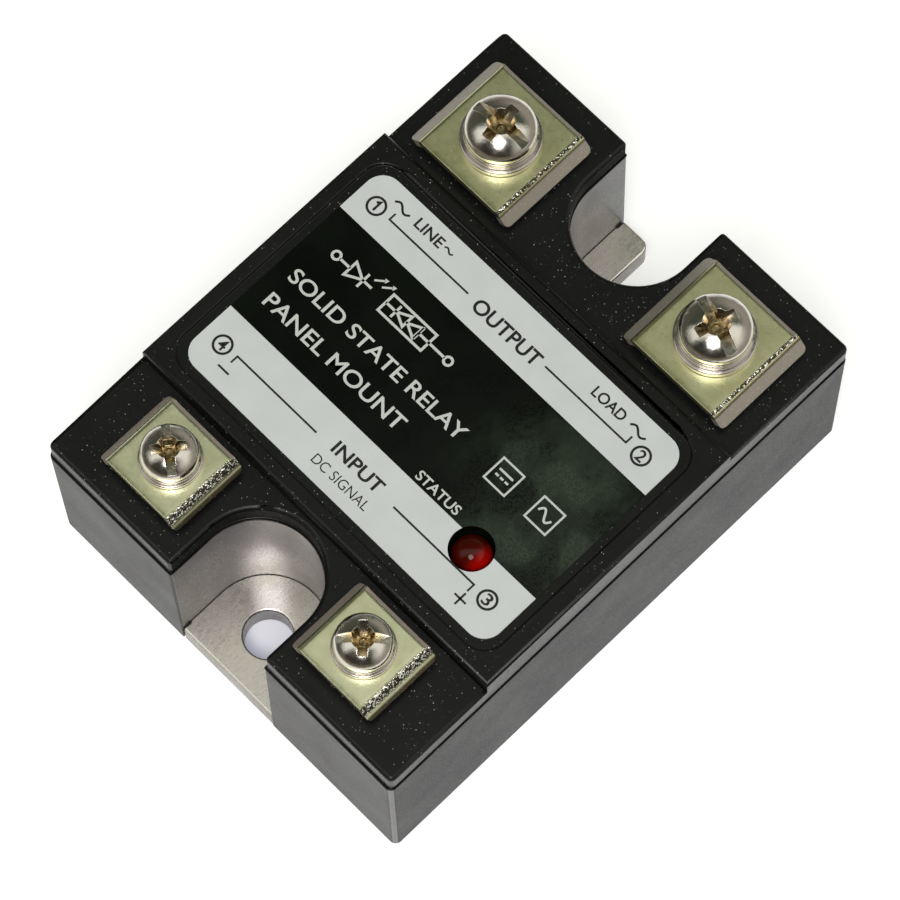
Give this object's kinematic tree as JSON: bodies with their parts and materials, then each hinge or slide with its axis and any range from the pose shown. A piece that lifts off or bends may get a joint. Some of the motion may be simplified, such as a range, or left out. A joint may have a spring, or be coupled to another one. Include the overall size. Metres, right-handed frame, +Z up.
{
  "type": "solid state relay",
  "caption": "Panel-mount relay block with a metal base, notched ends, raised label panel, status lamp and screw terminals with saddle clamp plates.",
  "frame": {"origin": "centre of the underside of the base plate", "axes": "+X along the body to the load end, +Y to terminals 1 and 4, +Z up out of the mounting face"},
  "size_m": [0.0582, 0.0446, 0.0281],
  "materials": {
    "base_nickel": "satin nickel plating",
    "case_plastic": "smooth moulded glass-filled plastic",
    "cover_plastic": "fine textured moulded glass-filled plastic",
    "label_film": "printed film under clear gloss",
    "lamp_red": "translucent red epoxy",
    "tinned_lead": "tinned",
    "ceramic_white": "fired alumina",
    "copper": "bare copper",
    "silicon": "satin",
    "board_green": "solder mask",
    "part_black": "moulded epoxy",
    "part_tan": "painted ceramic",
    "part_yellow": "moulded case",
    "part_white": "ceramic",
    "part_blue": "dipped epoxy",
    "potting_grey": "cured epoxy",
    "terminal_metal": "nickel-plated brass",
    "clamp_chromate": "yellow-green passivated zinc",
    "washer_nickel": "bright nickel plating",
    "screw_nickel": "bright nickel plating"
  },
  "bodies": {
    "root": {"base_plate": "base_nickel", "housing": "case_plastic", "top_cover": "cover_plastic", "label": "label_film", "status_led": "lamp_red", "led_leads": "tinned_lead", "ceramic_substrate": "ceramic_white", "copper_tracks": "copper", "thyristor_chips": "silicon", "chip_links": "copper", "gate_leads": "tinned_lead", "control_board": "board_green", "optocoupler": "part_black", "resistors": "part_tan", "driver_transistor": "part_black", "input_diode": "part_black", "snubber_capacitor": "part_yellow", "snubber_resistor": "part_white", "varistor": "part_blue", "potting_compound": "potting_grey", "terminal_block_1": "terminal_metal", "terminal_block_2": "terminal_metal", "terminal_block_3": "terminal_metal", "terminal_block_4": "terminal_metal", "busbar_1": "copper", "busbar_2": "copper", "busbar_3": "copper", "busbar_4": "copper"},
    "clamp_1": {"clamp_plate_1": "clamp_chromate"},
    "screw_set_1": {"screw_1": "screw_nickel", "spring_washer_1": "washer_nickel", "flat_washer_1": "washer_nickel"},
    "clamp_2": {"clamp_plate_2": "clamp_chromate"},
    "screw_set_2": {"screw_2": "screw_nickel", "spring_washer_2": "washer_nickel", "flat_washer_2": "washer_nickel"},
    "clamp_3": {"clamp_plate_3": "clamp_chromate"},
    "screw_set_3": {"screw_3": "screw_nickel", "spring_washer_3": "washer_nickel", "flat_washer_3": "washer_nickel"},
    "clamp_4": {"clamp_plate_4": "clamp_chromate"},
    "screw_set_4": {"screw_4": "screw_nickel", "spring_washer_4": "washer_nickel", "flat_washer_4": "washer_nickel"}
  },
  "joints": [
    {"name": "clamp_1_lift", "type": "slide", "parent": "root", "child": "clamp_1", "axis": [0, 0, 1], "range_m": [0, 0.0028]},
    {"name": "screw_1_turn", "type": "hinge", "parent": "clamp_1", "child": "screw_set_1", "pos_m": [0.0204, 0.0139, 0], "axis": [0, 0, 1], "range_deg": [0, 1440]},
    {"name": "clamp_2_lift", "type": "slide", "parent": "root", "child": "clamp_2", "axis": [0, 0, 1], "range_m": [0, 0.0028]},
    {"name": "screw_2_turn", "type": "hinge", "parent": "clamp_2", "child": "screw_set_2", "pos_m": [0.0204, -0.0135, 0], "axis": [0, 0, 1], "range_deg": [0, 1440]},
    {"name": "clamp_3_lift", "type": "slide", "parent": "root", "child": "clamp_3", "axis": [0, 0, 1], "range_m": [0, 0.0025]},
    {"name": "screw_3_turn", "type": "hinge", "parent": "clamp_3", "child": "screw_set_3", "pos_m": [-0.0224, -0.0122, 0], "axis": [0, 0, 1], "range_deg": [0, 1800]},
    {"name": "clamp_4_lift", "type": "slide", "parent": "root", "child": "clamp_4", "axis": [0, 0, 1], "range_m": [0, 0.0025]},
    {"name": "screw_4_turn", "type": "hinge", "parent": "clamp_4", "child": "screw_set_4", "pos_m": [-0.0224, 0.0126, 0], "axis": [0, 0, 1], "range_deg": [0, 1800]}
  ],
  "couplings": [
    {"joint": "screw_1_turn", "follows": "clamp_1_lift", "rad_per_m": 8976},
    {"joint": "screw_2_turn", "follows": "clamp_2_lift", "rad_per_m": 8976},
    {"joint": "screw_3_turn", "follows": "clamp_3_lift", "rad_per_m": 12566},
    {"joint": "screw_4_turn", "follows": "clamp_4_lift", "rad_per_m": 12566}
  ]
}
